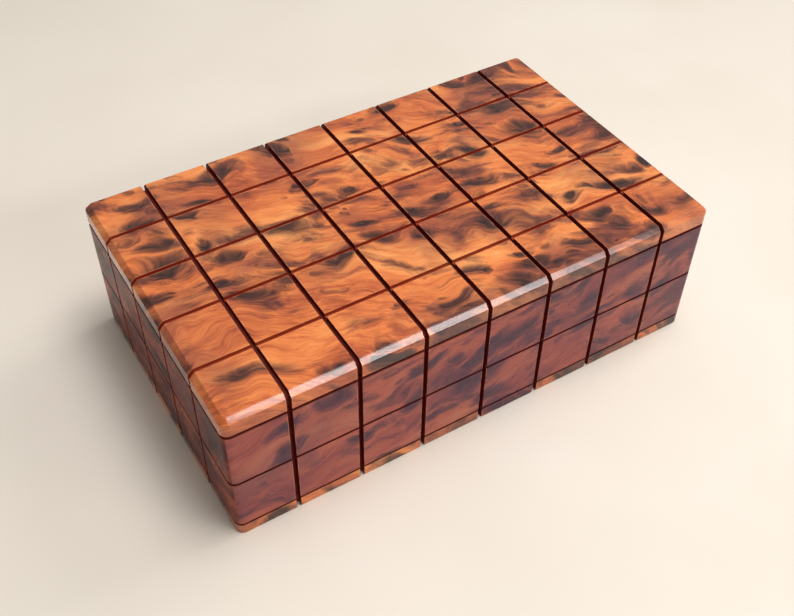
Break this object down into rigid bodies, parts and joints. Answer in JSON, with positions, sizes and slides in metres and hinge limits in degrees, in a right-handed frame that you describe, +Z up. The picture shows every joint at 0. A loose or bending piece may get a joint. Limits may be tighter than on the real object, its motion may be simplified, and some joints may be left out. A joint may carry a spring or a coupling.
{
  "type": "wooden puzzle box",
  "caption": "Lacquered burl-wood puzzle box, its faces sawn into tiles, with a hinged lid, a lock behind a sliding cover and a hidden drawer that holds the key.",
  "frame": {"origin": "centre of the underside, on the surface the box stands on", "axes": "+X along the long side towards the end with the hidden drawer, +Y towards the hinged back, +Z up"},
  "size_m": [0.2, 0.122, 0.061],
  "materials": {
    "burl": "gloss lacquer over burl",
    "plain_wood": "bare, sanded",
    "brass": "satin",
    "steel": "satin"
  },
  "bodies": {
    "case": {"back_wall": "burl", "base_board": "burl", "cover_stop_peg": "plain_wood", "drawer_runner_front": "plain_wood", "drawer_runner_rear": "plain_wood", "drawer_stop_block": "plain_wood", "drawer_stop_peg": "plain_wood", "false_floor": "plain_wood", "front_wall": "burl", "hinge_left_pin": "brass", "hinge_left_wall_leaf": "brass", "hinge_right_pin": "brass", "hinge_right_wall_leaf": "brass", "hinge_wall_screws": "brass", "left_wall": "burl", "lock_backplate": "brass", "lock_case": "brass", "lock_drill_pin": "steel", "lock_guide_studs": "steel", "lock_screws": "brass", "lock_spring": "steel", "right_wall": "burl"},
    "lid": {"lid_board": "burl", "link_plate": "brass", "link_plate_screws": "brass", "hinge_left_lid_leaf": "brass", "hinge_right_lid_leaf": "brass", "hinge_lid_screws": "brass"},
    "keyhole_cover": {"keyhole_cover": "burl"},
    "key_drawer": {"key_drawer_front": "burl", "key_drawer_tray": "plain_wood", "key": "steel"},
    "lock_bolt": {"lock_bolt": "steel"}
  },
  "joints": [
    {"name": "lid_hinge", "type": "hinge", "parent": "case", "child": "lid", "pos_m": [0, 0.058, 0.05285], "axis": [-1, 0, 0], "range_deg": [0, 98]},
    {"name": "cover_slide", "type": "slide", "parent": "case", "child": "keyhole_cover", "axis": [0, 0, -1], "range_m": [0, 0.024]},
    {"name": "drawer_slide", "type": "slide", "parent": "case", "child": "key_drawer", "axis": [1, 0, 0], "range_m": [0, 0.044]},
    {"name": "bolt_slide", "type": "slide", "parent": "case", "child": "lock_bolt", "axis": [1, 0, 0], "range_m": [0, 0.005]}
  ]
}
